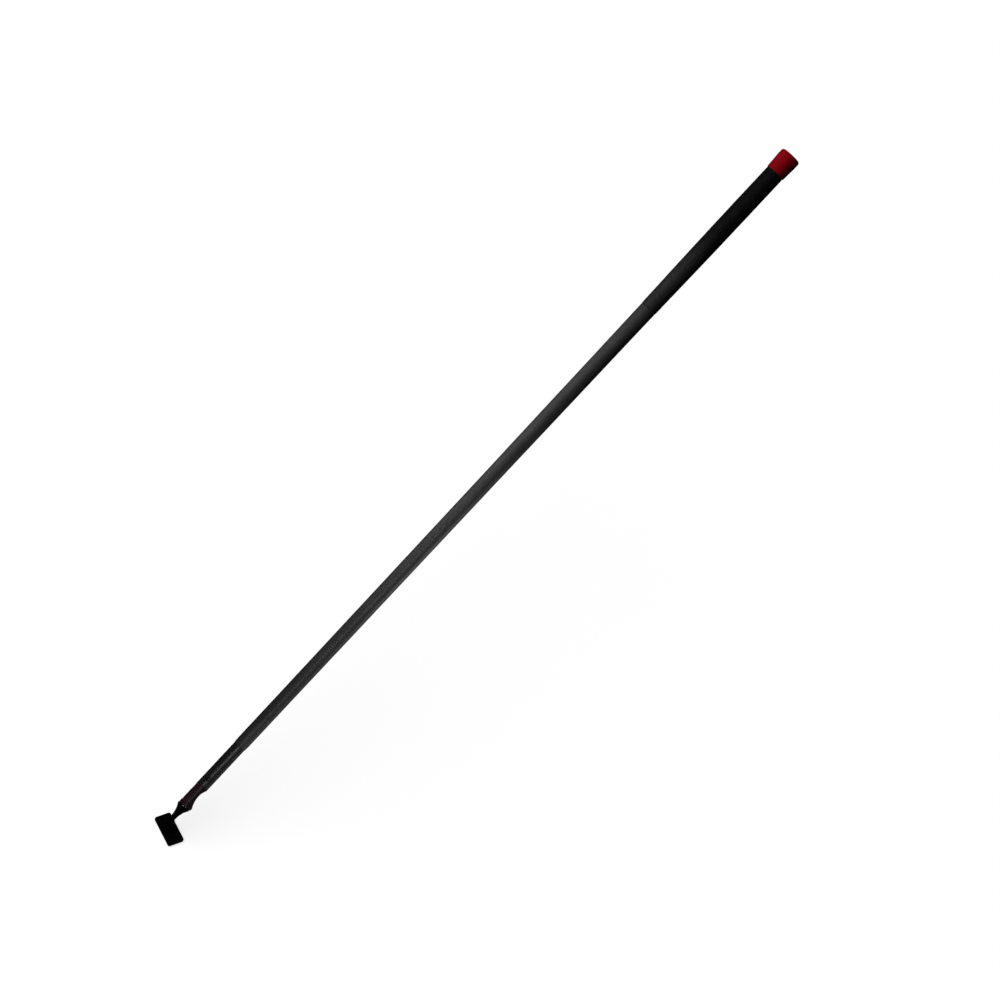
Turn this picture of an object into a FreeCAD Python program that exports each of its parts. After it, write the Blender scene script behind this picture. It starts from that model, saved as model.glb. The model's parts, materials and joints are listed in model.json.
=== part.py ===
import FreeCAD, Part
import Sketcher
import math
import os
import re

# Tiller extension with a rubber universal joint and a quick-release swivel socket.
#
# Millimetres. The origin is the middle of the base plate's mounting face, +Z is the plate's
# outward normal and +X runs along its long side. Three frames are used:
#   BASE   the frame above
#   LINK   origin at the lower bending centre of the rubber neck, +Z along the stick
#   STICK  origin at the upper bending centre, +Z along the stick, +X towards the finger scoop
# At rest the stick leans by lean_angle towards lean_heading.

doc = FreeCAD.newDocument("tiller_extension")
sheet = doc.addObject("Spreadsheet::Sheet", "dims")

# Driving dimensions. "_low" and "_top" are heights along Z of the part's own frame, "_out" is a
# distance from the axis along X. A text starting with "=" is worked out from rows above it.
DIMENSIONS = [
    # clearances: between fixed parts, and between moving parts
    ("slack", 0.02), ("run_clear", 0.05),
    # rest pose
    ("lean_angle", 59.74), ("lean_heading", 108.84), ("swivel_roll", 34.69),
    ("pivot_height", 29.5), ("neck_length", 6.0),
    # base plate
    ("plate_length", 42.9), ("plate_width", 21.7), ("plate_thick", 4.0),
    ("plate_corner", 2.6), ("plate_edge", 0.8),
    ("mount_spacing", 28.0), ("mount_hole", 5.4), ("mount_sink", 9.6),
    # foot screw
    ("foot_rad", 2.45), ("foot_clear_rad", 2.7), ("foot_head_rad", 4.6), ("foot_head_low", 0.15),
    ("foot_tip", 9.2), ("foot_bevel", 0.6), ("foot_socket_flats", 3.0), ("foot_socket_deep", 1.4),
    # rubber joint; rubber_start is measured from the nearer bending centre
    ("neck_rad", 3.3), ("rubber_start", 3.5), ("rubber_low_top", "=pivot_height - rubber_start"),
    ("low_waist_rad", 4.0), ("low_foot_rad", 8.5),
    ("up_waist_rad", 4.25), ("up_top_rad", 8.9), ("up_top", 16.0),
    # inserts bonded in the rubber
    ("insert_low_top", 14.0), ("insert_low_rad", 3.6), ("insert_low_flange_rad", 6.2),
    ("insert_flange_thick", 1.2), ("insert_low_flange_top", "=plate_thick + insert_flange_thick"),
    ("insert_up_low", 7.0), ("insert_up_rad", 3.4), ("insert_up_flange_rad", 5.6),
    ("insert_up_flange_low", "=up_top - insert_flange_thick - 0.4"), ("thread_rad", 2.5),
    # cord that joins the inserts, and the room for its knots
    ("cord_rad", 0.9), ("cord_hole_rad", 0.95), ("cord_overlap", 2.0), ("cord_gap", 0.1),
    ("knot_rad", 1.6), ("knot_room_rad", 1.85), ("knot_room_deep", 3.4), ("knot_wall", 1.0),
    ("knot_room_a_top", "=insert_low_top - knot_wall"),
    ("knot_room_a_low", "=knot_room_a_top - knot_room_deep"),
    ("knot_room_b_low", "=insert_up_low + knot_wall"),
    ("knot_room_b_top", "=knot_room_b_low + knot_room_deep"),
    # swivel stud
    ("stud_rad", 3.25), ("stud_low", 11.6), ("stud_thread_rad", 2.45), ("stud_bevel", 0.5),
    ("stud_flange_rad", 6.2), ("stud_flange_low", "=up_top + slack"), ("stud_flange_top", 17.2),
    ("stud_flats", 10.6), ("stud_flats_reach", 8.0), ("stud_top", 40.0), ("stud_nose", 1.1),
    ("stud_slot_low", 24.1), ("stud_slot_top", 27.1), ("stud_slot_rad", 2.3),
    # washer and bush
    ("washer_low", "=stud_flange_top + slack"), ("washer_thick", 0.8),
    ("washer_top", "=washer_low + washer_thick"), ("washer_rad", 6.2),
    ("bush_rad", 4.2), ("bush_top", 23.4),
    # socket body
    ("mouth_face", "=washer_top + run_clear"), ("skirt_low", 16.3), ("skirt_bore", 6.9),
    ("collar_rad", 8.35), ("collar_top", 50.0), ("collar_bevel_low", 0.4), ("collar_bevel_top", 0.3),
    ("lip_rad", 9.25), ("lip_shift", 0.8), ("lip_top", 22.6), ("lip_round", 1.1),
    ("lip_slope", 2.0), ("bore_top", 40.5),
    ("spigot_rad", 6.93), ("spigot_top", 80.0), ("spigot_bevel", 1.0),
    ("spigot_room_rad", 4.2), ("spigot_room_low", 56.0),
    ("ring_slot_low", 72.6), ("ring_slot_top", 74.6), ("ring_slot_rad", 5.5), ("ring_line", 0.7),
    ("scoop_depth", 5.4), ("scoop_mid", 37.5), ("scoop_low", 19.6), ("scoop_top", 49.2),
    ("scoop_low_out", 10.25), ("scoop_top_out", 8.55), ("scoop_far", "=scoop_low_out + 4"),
    ("scoop_edge", 0.7),
    # slot for the lever: depths of its floor
    ("slot_mouth_out", 12.0), ("slot_low_out", 4.9), ("slot_pin_out", 4.5),
    ("slot_bore_out", 4.0), ("slot_top_out", 3.1),
    # release lever and its pin
    ("lever_half", 3.5), ("lever_gap", 0.1), ("lever_rad", 8.12), ("lever_low", 22.5),
    ("lever_top", 46.5), ("lever_blank_out", 9.0), ("lever_low_out", 5.4), ("lever_pin_out", 5.0),
    ("lever_top_out", 5.6), ("nose_low", 24.6), ("nose_top", 27.0), ("nose_tip", 2.4),
    ("pin_out", 6.2), ("pin_line", 33.0), ("pin_rad", 0.75), ("pin_half", 5.3),
    ("groove_pitch", 1.9), ("groove_wide", 0.9), ("groove_deep", 0.45), ("groove_first", 38.6),
    # lever spring
    ("spring_line", 43.0), ("spring_seat", 1.6), ("spring_top", 5.5), ("spring_rad", 1.3),
    ("spring_wire", 0.17), ("spring_turns", 5.0), ("spring_room", 1.75),
    # tube: heights of its stations, outside radii and wall
    ("tube_low", 50.1), ("tube_top", 1124.0), ("tube_wall", 1.3),
    ("station_a", 128.0), ("station_b", 188.6), ("station_pitch", 125.0),
    ("station_c", "=station_b + station_pitch"), ("station_d", "=station_c + station_pitch"),
    ("station_e", "=station_d + station_pitch"), ("station_f", "=station_e + station_pitch"),
    ("station_g", "=station_f + station_pitch"), ("grip_low", 866.5), ("grip_top", 1098.5),
    ("tube_rad_a", 8.25), ("tube_rad_b", 8.3), ("tube_rad_c", 8.6), ("tube_rad_d", 8.85),
    ("tube_rad_e", 9.15), ("tube_rad_f", 9.65), ("tube_rad_g", 10.05),
    ("tube_rad_grip", 10.25), ("tube_rad_top", 10.9),
    # rivets
    ("rivet_line", 62.0), ("rivet_rad", 1.6), ("rivet_head_rad", 2.9), ("rivet_head_high", 0.85),
    ("rivet_bulb_rad", 2.2), ("rivet_bulb_low", 2.3), ("rivet_bulb_top", 3.5),
    ("rivet_bulb_bevel", 0.5),
    # sleeve and grip
    ("sleeve_low", 118.0), ("sleeve_top", 866.3), ("sleeve_wall", 0.66), ("sleeve_lip", 0.25),
    ("grip_lip_rad", 11.15), ("grip_bevel", 0.3),
    ("grip_rad_a", 11.45), ("grip_rad_b", 11.95), ("grip_rad_c", 12.3), ("grip_rad_d", 12.45),
    ("grip_station_a", 888.6), ("grip_pitch", 50.0),
    # end plug
    ("plug_low", 1080.0), ("plug_rad", 9.55), ("plug_bevel", 0.8), ("plug_room_rad", 7.0),
    ("plug_room_top", 1118.0), ("plug_flange_top", 1126.0), ("plug_slot_low", 1089.0),
    ("plug_slot_top", 1091.0), ("plug_slot_rad", 8.2), ("plug_ring_line", 0.66),
    # end cap
    ("cap_low", 1098.6), ("cap_top", 1128.6), ("cap_floor", 1126.1), ("cap_bore", 10.95),
    ("cap_rad_low", 13.3), ("cap_rad_mid", 13.9), ("cap_rad_top", 14.2), ("cap_mid", 1113.6),
    ("cap_shoulder", 1119.6), ("cap_bevel", 0.4), ("cap_edge", 3.5),
]
for row, (alias, value) in enumerate(DIMENSIONS, start=1):
    sheet.set("A%d" % row, alias)
    sheet.set("B%d" % row, str(value))
    sheet.setAlias("B%d" % row, alias)
doc.recompute()


def expr(text):
    """Turns each $name in a size's text into a reference to the sheet's cell of that name."""
    return re.sub(r"\$(\w+)", r"dims.\1", text)


def num(text):
    return float(sheet.evalExpression(expr(text)))


# ---------------------------------------------------------------- frames
def shift(x=0, z=0, turned_by=FreeCAD.Rotation()):
    return FreeCAD.Placement(FreeCAD.Vector(x, 0, z), turned_by)


heading = math.radians(num("$lean_heading"))
lean_axis = FreeCAD.Vector(-math.sin(heading), math.cos(heading), 0)
lean = FreeCAD.Rotation(lean_axis, num("$lean_angle"))
along = lean.multVec(FreeCAD.Vector(0, 0, 1))
pivot_low = FreeCAD.Vector(0, 0, num("$pivot_height"))
pivot_up = pivot_low + along * num("$neck_length")
roll = FreeCAD.Rotation(FreeCAD.Vector(0, 0, 1), num("$swivel_roll"))
BASE = FreeCAD.Placement()
LINK = FreeCAD.Placement(pivot_low, lean)
STICK = FreeCAD.Placement(pivot_up, lean * roll)

pieces = []


def keep(obj, label, frame):
    """Labels and places a finished piece and lists it for export."""
    obj.Label = label
    obj.Placement = frame
    pieces.append(obj)
    return obj


# ---------------------------------------------------------------- sketch helpers
# Sizes are texts. On XZ_Plane the sketch's x, y are the body's X, Z; on YZ_Plane they are Y, Z.
def new_body(label, frame):
    return keep(doc.addObject("PartDesign::Body", "body_" + label), label, frame)


def datum(body, role):
    """A plane or axis of the body's origin."""
    return ([f for f in body.Origin.OriginFeatures if f.Role == role][0], [""])


def sketch(body, name, plane, **offsets):
    """A sketch on an origin plane, offset along its own x, y or z."""
    sk = body.newObject("Sketcher::SketchObject", name)
    sk.AttachmentSupport = datum(body, plane)
    sk.MapMode = "FlatFace"
    for axis, text in offsets.items():
        sk.setExpression("AttachmentOffset.Base." + axis, expr(text))
    return sk


def constrain(sk, kind, *geometry, size):
    """Adds a dimension and binds it to the sheet when its size names a cell."""
    i = sk.addConstraint(Sketcher.Constraint(kind, *geometry, num(size)))
    if "$" in size:
        sk.setExpression("Constraints[%d]" % i, expr(size))


def pin_point(sk, geo, pos, x, y):
    constrain(sk, "DistanceX", -1, 1, geo, pos, size=x)
    constrain(sk, "DistanceY", -1, 1, geo, pos, size=y)


def outline(sk, points):
    """A closed chain of straight lines through (x, y) corners."""
    values = [FreeCAD.Vector(num(x), num(y), 0) for x, y in points]
    count = len(values)
    first = sk.GeometryCount
    for i, corner in enumerate(values):
        sk.addGeometry(Part.LineSegment(corner, values[(i + 1) % count]), False)
    for i in range(count):
        sk.addConstraint(
            Sketcher.Constraint("Coincident", first + i, 2, first + (i + 1) % count, 1)
        )
    for i, (x, y) in enumerate(points):
        pin_point(sk, first + i, 1, x, y)
    return sk


def profile(body, name, points):
    return outline(sketch(body, name, "XZ_Plane"), points)


def circle(sk, x, y, rad):
    centre = FreeCAD.Vector(num(x), num(y), 0)
    i = sk.addGeometry(Part.Circle(centre, FreeCAD.Vector(0, 0, 1), num(rad)), False)
    pin_point(sk, i, 3, x, y)
    constrain(sk, "Radius", i, size=rad)
    return sk


# ---------------------------------------------------------------- feature helpers
def check_cut(feature, before):
    assert feature.Shape.Volume < before - 1e-3, feature.Name + " cuts nothing"


def turn(body, sk, cut=False, axis="V_Axis"):
    """Revolves a sketch about one of its own axes, adding or cutting."""
    before = body.Shape.Volume if cut else None
    kind, ending = ("Groove", "_cut") if cut else ("Revolution", "_turned")
    feature = body.newObject("PartDesign::" + kind, sk.Name + ending)
    feature.Profile = sk
    feature.ReferenceAxis = (sk, [axis])
    feature.Angle = 360
    sk.Visibility = False
    doc.recompute()
    if cut:
        check_cut(feature, before)
    return feature


def extrude(body, sk, size, cut=False, both=False, reverse=False):
    before = body.Shape.Volume if cut else None
    kind, ending = ("Pocket", "_cut") if cut else ("Pad", "_padded")
    feature = body.newObject("PartDesign::" + kind, sk.Name + ending)
    feature.Profile = sk
    feature.SideType = "Symmetric" if both else "One side"
    feature.Reversed = reverse
    feature.setExpression("Length", expr(size))
    doc.recompute()
    if cut:
        check_cut(feature, before)
    return feature


def cut_round(body, name, points):
    turn(body, profile(body, name, points), cut=True)


def cut_across(body, sk):
    """Cuts an XZ sketch along Y, right through the stick."""
    return extrude(body, sk, "4 * $lip_rad", cut=True, both=True)


def drill_across(body, name, x, z, rad):
    cut_across(body, circle(sketch(body, name, "XZ_Plane"), x, z, rad))


def dress(body, kind, name, radius, test):
    """Fillets the edges of the body's tip for which test(edge) is true."""
    tip = body.Tip
    edges = ["Edge%d" % (i + 1) for i, e in enumerate(tip.Shape.Edges) if test(e)]
    assert edges, "no edges found for " + name
    feature = body.newObject("PartDesign::" + kind, name)
    feature.Base = (tip, edges)
    feature.setExpression("Radius", expr(radius))
    doc.recompute()
    assert feature.Shape.isValid() and "Invalid" not in feature.State, name


def near(a, b):
    return abs(a - b) < 1e-3


def lies_at(height):
    """Edge test: the whole edge lies at this height."""
    return lambda e: near(e.BoundBox.ZMin, num(height)) and near(e.BoundBox.ZMax, num(height))


def turned(label, frame, points):
    """A body whose (radius, height) outline is turned about the frame's Z."""
    body = new_body(label, frame)
    turn(body, profile(body, label + "_profile", points))
    return body


def primitive(kind, name, low=None, **sizes):
    """A Part primitive, raised to the height low."""
    obj = doc.addObject("Part::" + kind, name)
    for prop, text in sizes.items():
        obj.setExpression(prop, expr(text))
    if low:
        obj.setExpression("Placement.Base.z", expr(low))
    return obj


def cord_end(label, frame, knot_at, low, high):
    """A length of round cord with a knot centred at the height knot_at."""
    ball = primitive("Sphere", label + "_knot", knot_at, Radius="$knot_rad")
    length = "(%s) - (%s)" % (high, low)
    line = primitive("Cylinder", label + "_line", low, Radius="$cord_rad", Height=length)
    both = doc.addObject("Part::Fuse", label + "_fused")
    both.Base, both.Tool = ball, line
    keep(both, label, frame)


def o_ring(label, slot_low, slot_top, mean_rad, line_rad):
    """A ring around the stick, midway along its slot."""
    ring = primitive("Torus", label, Radius1=mean_rad, Radius2=line_rad)
    keep(ring, label, STICK * shift(z=(num(slot_low) + num(slot_top)) / 2))


# ================================================================ base
def base_plate():
    plate = new_body("base_plate", BASE)
    sk = outline(sketch(plate, "plate_outline", "XY_Plane"), [
        ("-$plate_length / 2", "-$plate_width / 2"),
        ("$plate_length / 2", "-$plate_width / 2"),
        ("$plate_length / 2", "$plate_width / 2"),
        ("-$plate_length / 2", "$plate_width / 2"),
    ])
    extrude(plate, sk, "$plate_thick")

    def upright(edge):
        start, end = edge.Vertexes[0], edge.Vertexes[-1]
        return near(start.X, end.X) and near(start.Y, end.Y)

    dress(plate, "Fillet", "plate_corners", "$plate_corner", upright)
    dress(plate, "Fillet", "plate_top_edge", "$plate_edge", lies_at("$plate_thick"))
    mount_holes(plate)
    # clearance for the foot screw, countersunk at 45 degrees from below
    cut_round(plate, "foot_hole", [
        ("0", "-0.5"),
        ("$foot_head_rad + $foot_head_low + $slack + 0.5", "-0.5"),
        ("$foot_clear_rad", "$foot_head_rad + $foot_head_low + $slack - $foot_clear_rad"),
        ("$foot_clear_rad", "$plate_thick + 1"),
        ("0", "$plate_thick + 1"),
    ])


def mount_holes(plate):
    """Two mounting holes, countersunk from above."""
    sk = sketch(plate, "mount_holes", "XY_Plane", z="$plate_thick")
    for side in ("-", ""):
        circle(sk, side + "$mount_spacing / 2", "0", "$mount_hole / 2")
    doc.recompute()
    before = plate.Shape.Volume
    holes = plate.newObject("PartDesign::Hole", "mount_holes_drilled")
    holes.Profile = sk
    doc.recompute()
    holes.ThreadType = "None"
    holes.DepthType = "ThroughAll"
    holes.HoleCutType = "Countersink"
    holes.HoleCutCustomValues = True
    holes.HoleCutCountersinkAngle = 90
    holes.setExpression("Diameter", expr("$mount_hole"))
    holes.setExpression("HoleCutDiameter", expr("$mount_sink"))
    doc.recompute()
    check_cut(holes, before)


def foot_screw():
    screw = turned("foot_screw", BASE, [
        ("0", "$foot_head_low"),
        ("$foot_head_rad", "$foot_head_low"),
        ("$foot_rad", "$foot_head_low + $foot_head_rad - $foot_rad"),
        ("$foot_rad", "$foot_tip - $foot_bevel"),
        ("$foot_rad - $foot_bevel", "$foot_tip"),
        ("0", "$foot_tip"),
    ])
    reach = "$foot_socket_flats / 2 / cos(30deg)"
    sk = outline(sketch(screw, "hex_socket", "XY_Plane", z="$foot_head_low"), [
        ("%s * cos(%ddeg)" % (reach, 60 * i), "%s * sin(%ddeg)" % (reach, 60 * i))
        for i in range(6)
    ])
    extrude(screw, sk, "$foot_socket_deep", cut=True, reverse=True)


def lower_insert():
    turned("lower_insert", BASE, [
        ("$thread_rad", "$plate_thick"),
        ("$insert_low_flange_rad", "$plate_thick"),
        ("$insert_low_flange_rad", "$insert_low_flange_top"),
        ("$insert_low_rad", "$insert_low_flange_top"),
        ("$insert_low_rad", "$insert_low_top"),
        ("$cord_hole_rad", "$insert_low_top"),
        ("$cord_hole_rad", "$knot_room_a_top"),
        ("$knot_room_rad", "$knot_room_a_top"),
        ("$knot_room_rad", "$knot_room_a_low"),
        ("$thread_rad", "$knot_room_a_low"),
    ])


def rubber_joint_lower():
    turned("rubber_joint_lower", BASE, [
        # flared outside, from the plate up to the waist
        ("$insert_low_flange_rad + $slack", "$plate_thick"),
        ("$low_foot_rad", "$plate_thick"),
        ("$low_foot_rad - 0.2", "$plate_thick + 1"),
        ("$low_foot_rad - 1.5", "$pivot_height - 19"),
        ("$low_foot_rad - 2.6", "$pivot_height - 16"),
        ("$low_foot_rad - 3.5", "$pivot_height - 12"),
        ("$low_waist_rad + 0.4", "$pivot_height - 8"),
        ("$low_waist_rad", "$rubber_low_top"),
        # cord hole and the room for the insert
        ("$cord_hole_rad", "$rubber_low_top"),
        ("$cord_hole_rad", "$insert_low_top + $slack"),
        ("$insert_low_rad + $slack", "$insert_low_top + $slack"),
        ("$insert_low_rad + $slack", "$insert_low_flange_top + $slack"),
        ("$insert_low_flange_rad + $slack", "$insert_low_flange_top + $slack"),
    ])


def safety_cord_lower():
    knot = "$knot_room_a_top - $knot_room_deep / 2"
    cord_end("safety_cord_lower", BASE, knot, low=knot, high="$rubber_low_top - $cord_gap")


# ================================================================ link: the bending neck
def rubber_joint_neck():
    """A round-ended rod about the two bending centres, with the cord hole through it."""
    fused = doc.addObject("Part::MultiFuse", "neck_fused")
    fused.Shapes = [
        primitive("Sphere", "neck_ball_low", Radius="$neck_rad"),
        primitive("Sphere", "neck_ball_up", "$neck_length", Radius="$neck_rad"),
        primitive("Cylinder", "neck_waist", Radius="$neck_rad", Height="$neck_length"),
    ]
    hole = primitive(
        "Cylinder", "neck_hole", "-2 * $neck_rad",
        Radius="$cord_hole_rad", Height="$neck_length + 4 * $neck_rad",
    )
    neck = doc.addObject("Part::Cut", "neck_cut")
    neck.Base, neck.Tool = fused, hole
    keep(neck, "rubber_joint_neck", LINK)


def safety_cord_neck():
    """The cord's middle, which runs past each bending centre by cord_overlap."""
    length = "$neck_length + 2 * $cord_overlap"
    cord = primitive("Cylinder", "neck_cord", Radius="$cord_rad", Height=length)
    keep(cord, "safety_cord_neck", LINK * shift(z=-num("$cord_overlap")))


# ================================================================ head: upper joint and stud
def rubber_joint_upper():
    turned("rubber_joint_upper", STICK, [
        # flared outside, from the waist up to the stud's flange
        ("$cord_hole_rad", "$rubber_start"),
        ("$up_waist_rad", "$rubber_start"),
        ("$up_waist_rad + 0.6", "6"),
        ("$up_waist_rad + 1.3", "8.6"),
        ("$up_waist_rad + 2.45", "11.1"),
        ("$up_waist_rad + 3.65", "13.6"),
        ("$up_top_rad - 0.1", "$up_top - 0.6"),
        ("$up_top_rad", "$up_top"),
        # room for the insert
        ("$insert_up_flange_rad + $slack", "$up_top"),
        ("$insert_up_flange_rad + $slack", "$insert_up_flange_low"),
        ("$insert_up_rad + $slack", "$insert_up_flange_low"),
        ("$insert_up_rad + $slack", "$insert_up_low - $slack"),
        ("$cord_hole_rad", "$insert_up_low - $slack"),
    ])


def upper_insert():
    turned("upper_insert", STICK, [
        ("$cord_hole_rad", "$insert_up_low"),
        ("$insert_up_rad", "$insert_up_low"),
        ("$insert_up_rad", "$insert_up_flange_low + $slack"),
        ("$insert_up_flange_rad", "$insert_up_flange_low + $slack"),
        ("$insert_up_flange_rad", "$up_top"),
        ("$thread_rad", "$up_top"),
        ("$thread_rad", "$knot_room_b_top"),
        ("$knot_room_rad", "$knot_room_b_top"),
        ("$knot_room_rad", "$knot_room_b_low"),
        ("$cord_hole_rad", "$knot_room_b_low"),
    ])


def safety_cord_upper():
    knot = "$knot_room_b_low + $knot_room_deep / 2"
    cord_end("safety_cord_upper", STICK, knot, low="$rubber_start + $cord_gap", high=knot)


def swivel_stud():
    stud = turned("swivel_stud", STICK, [
        ("0", "$stud_low"),
        ("$stud_thread_rad - $stud_bevel", "$stud_low"),
        ("$stud_thread_rad", "$stud_low + $stud_bevel"),
        ("$stud_thread_rad", "$stud_flange_low"),
        ("$stud_flange_rad", "$stud_flange_low"),
        ("$stud_flange_rad", "$stud_flange_top"),
        ("$stud_rad", "$stud_flange_top"),
        ("$stud_rad", "$stud_slot_low"),
        ("$stud_slot_rad", "$stud_slot_low"),
        ("$stud_slot_rad", "$stud_slot_top"),
        ("$stud_rad", "$stud_slot_top"),
        ("$stud_rad", "$stud_top - $stud_nose"),
        ("$stud_rad - $stud_nose", "$stud_top"),
        ("0", "$stud_top"),
    ])
    # two spanner flats on the flange, cut 0.01 past each of its faces
    sk = sketch(stud, "spanner_flats", "XY_Plane", z="$stud_flange_low - 0.01")
    for side in ("", "-"):
        outline(sk, [
            ("-$stud_flats_reach", side + "$stud_flats / 2"),
            ("$stud_flats_reach", side + "$stud_flats / 2"),
            ("$stud_flats_reach", side + "$stud_flats_reach"),
            ("-$stud_flats_reach", side + "$stud_flats_reach"),
        ])
    extrude(stud, sk, "$stud_flange_top - $stud_flange_low + 0.02", cut=True, reverse=True)


def tubular(label, outer_rad, low, top):
    """A plain ring that runs on the stud."""
    turned(label, STICK, [
        ("$stud_rad + $run_clear", low), (outer_rad, low),
        (outer_rad, top), ("$stud_rad + $run_clear", top),
    ])


# ================================================================ stick: socket
def socket_body():
    socket = turned("socket_body", STICK, [
        ("0", "$skirt_low"),
        ("$collar_rad - $collar_bevel_low", "$skirt_low"),
        ("$collar_rad", "$skirt_low + $collar_bevel_low"),
        ("$collar_rad", "$collar_top - $collar_bevel_top"),
        ("$collar_rad - $collar_bevel_top", "$collar_top"),
        ("$spigot_rad", "$collar_top"),
        ("$spigot_rad", "$spigot_top - $spigot_bevel"),
        ("$spigot_rad - $spigot_bevel", "$spigot_top"),
        ("0", "$spigot_top"),
    ])
    # finger stop at the mouth, turned about an axis set off towards the scoop
    turn(socket, outline(sketch(socket, "finger_stop", "XZ_Plane", x="$lip_shift"), [
        ("0", "$skirt_low"),
        ("$lip_rad - $lip_round", "$skirt_low"),
        ("$lip_rad - 0.3 * $lip_round", "$skirt_low + 0.3 * $lip_round"),
        ("$lip_rad", "$skirt_low + $lip_round"),
        ("$lip_rad", "$lip_top - $lip_slope"),
        ("$lip_rad - $lip_slope", "$lip_top + $lip_slope"),
        ("0", "$lip_top + $lip_slope"),
    ]))
    finger_scoop(socket)
    # mouth, bush seat and stud bore
    cut_round(socket, "bores", [
        ("0", "$skirt_low - 2"),
        ("$skirt_bore", "$skirt_low - 2"),
        ("$skirt_bore", "$mouth_face"),
        ("$bush_rad + $slack", "$mouth_face"),
        ("$bush_rad + $slack", "$bush_top + $slack"),
        ("$stud_rad + $run_clear", "$bush_top + $slack"),
        ("$stud_rad + $run_clear", "$bore_top"),
        ("0", "$bore_top"),
    ])
    cut_round(socket, "spigot_hollow", [
        ("0", "$spigot_room_low"),
        ("$spigot_room_rad", "$spigot_room_low"),
        ("$spigot_room_rad", "$spigot_top + 1"),
        ("0", "$spigot_top + 1"),
    ])
    cut_round(socket, "ring_slot", [
        ("$ring_slot_rad", "$ring_slot_low"),
        ("$spigot_rad + 1", "$ring_slot_low"),
        ("$spigot_rad + 1", "$ring_slot_top"),
        ("$ring_slot_rad", "$ring_slot_top"),
    ])
    # slot for the release lever, with the opening for its nose
    sk = profile(socket, "lever_slot", [
        ("-$slot_mouth_out", "$lever_low - 0.5"),
        ("-$slot_low_out", "$lever_low - 0.5"),
        ("-$slot_low_out", "$nose_low - 0.8"),
        ("-$stud_slot_rad + 0.3", "$nose_low - 0.8"),
        ("-$stud_slot_rad + 0.3", "$nose_top + 0.5"),
        ("-$slot_pin_out", "$nose_top + 0.5"),
        ("-$slot_pin_out", "$pin_line + 3.5"),
        ("-$slot_bore_out", "$bore_top + 0.5"),
        ("-$slot_top_out", "$lever_top - 0.5"),
        ("-$slot_top_out", "$lever_top + 0.7"),
        ("-$slot_mouth_out", "$lever_top + 0.7"),
    ])
    extrude(socket, sk, "2 * ($lever_half + $lever_gap)", cut=True, both=True)
    drill_across(socket, "pin_hole", "-$pin_out", "$pin_line", "$pin_rad + $slack")
    drill_across(socket, "rivet_hole", "0", "$rivet_line", "$rivet_rad + $run_clear")
    # pocket for the spring, running out towards the lever
    sk = sketch(socket, "spring_pocket", "YZ_Plane", z="-$spring_seat")
    extrude(socket, circle(sk, "0", "$spring_line", "$spring_room"), "$spring_top", cut=True)


def finger_scoop(socket):
    """Two arcs that meet tangentially at the scoop's deepest line, cut right across."""
    sk = sketch(socket, "scoop", "XZ_Plane")
    depth, mid, far = num("$scoop_depth"), num("$scoop_mid"), num("$scoop_far")
    low_out, low = num("$scoop_low_out"), num("$scoop_low")
    top_out, top = num("$scoop_top_out"), num("$scoop_top")

    def arc_to(out, height):
        """Arc between the deepest line and a point, its centre level with that line."""
        rad = ((out - depth) ** 2 + (height - mid) ** 2) / (2 * (out - depth))
        centre = FreeCAD.Vector(depth + rad, mid, 0)
        end = math.atan2(height - mid, out - depth - rad) % (2 * math.pi)
        whole = Part.Circle(centre, FreeCAD.Vector(0, 0, 1), rad)
        return sk.addGeometry(
            Part.ArcOfCircle(whole, min(math.pi, end), max(math.pi, end)), False
        )

    # arc_low starts at the deepest line, arc_top ends there
    arc_low = arc_to(low_out, low)
    arc_top = arc_to(top_out, top)
    corners = [
        FreeCAD.Vector(x, z, 0) for x, z in ((top_out, top), (far, top), (far, low), (low_out, low))
    ]
    lines = [
        sk.addGeometry(Part.LineSegment(corners[i], corners[i + 1]), False) for i in range(3)
    ]
    for rule in (
        ("Tangent", arc_top, 2, arc_low, 1),
        ("Coincident", arc_top, 1, lines[0], 1),
        ("Coincident", lines[0], 2, lines[1], 1),
        ("Coincident", lines[1], 2, lines[2], 1),
        ("Coincident", lines[2], 2, arc_low, 2),
        ("Horizontal", lines[0]),
        ("Vertical", lines[1]),
        ("Horizontal", lines[2]),
    ):
        sk.addConstraint(Sketcher.Constraint(*rule))
    pin_point(sk, arc_low, 1, "$scoop_depth", "$scoop_mid")
    pin_point(sk, arc_low, 2, "$scoop_low_out", "$scoop_low")
    pin_point(sk, arc_top, 1, "$scoop_top_out", "$scoop_top")
    constrain(sk, "DistanceX", -1, 1, lines[1], 1, size="$scoop_far")
    constrain(sk, "DistanceY", arc_low, 1, arc_low, 3, size="0")
    cut_across(socket, sk)

    def on_rim(edge):
        """Long edges of the scoop's two sides."""
        box = edge.BoundBox
        return (
            box.ZMin > low - 0.8 and box.ZMax < top + 0.4
            and box.ZLength > 6 and box.XMin > depth - 0.2
        )

    dress(socket, "Fillet", "scoop_edges", "$scoop_edge", on_rim)


def lever_pin():
    pin = new_body("lever_pin", STICK)
    sk = circle(sketch(pin, "pin_section", "XZ_Plane"), "-$pin_out", "$pin_line", "$pin_rad")
    extrude(pin, sk, "2 * $pin_half", both=True)


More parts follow.
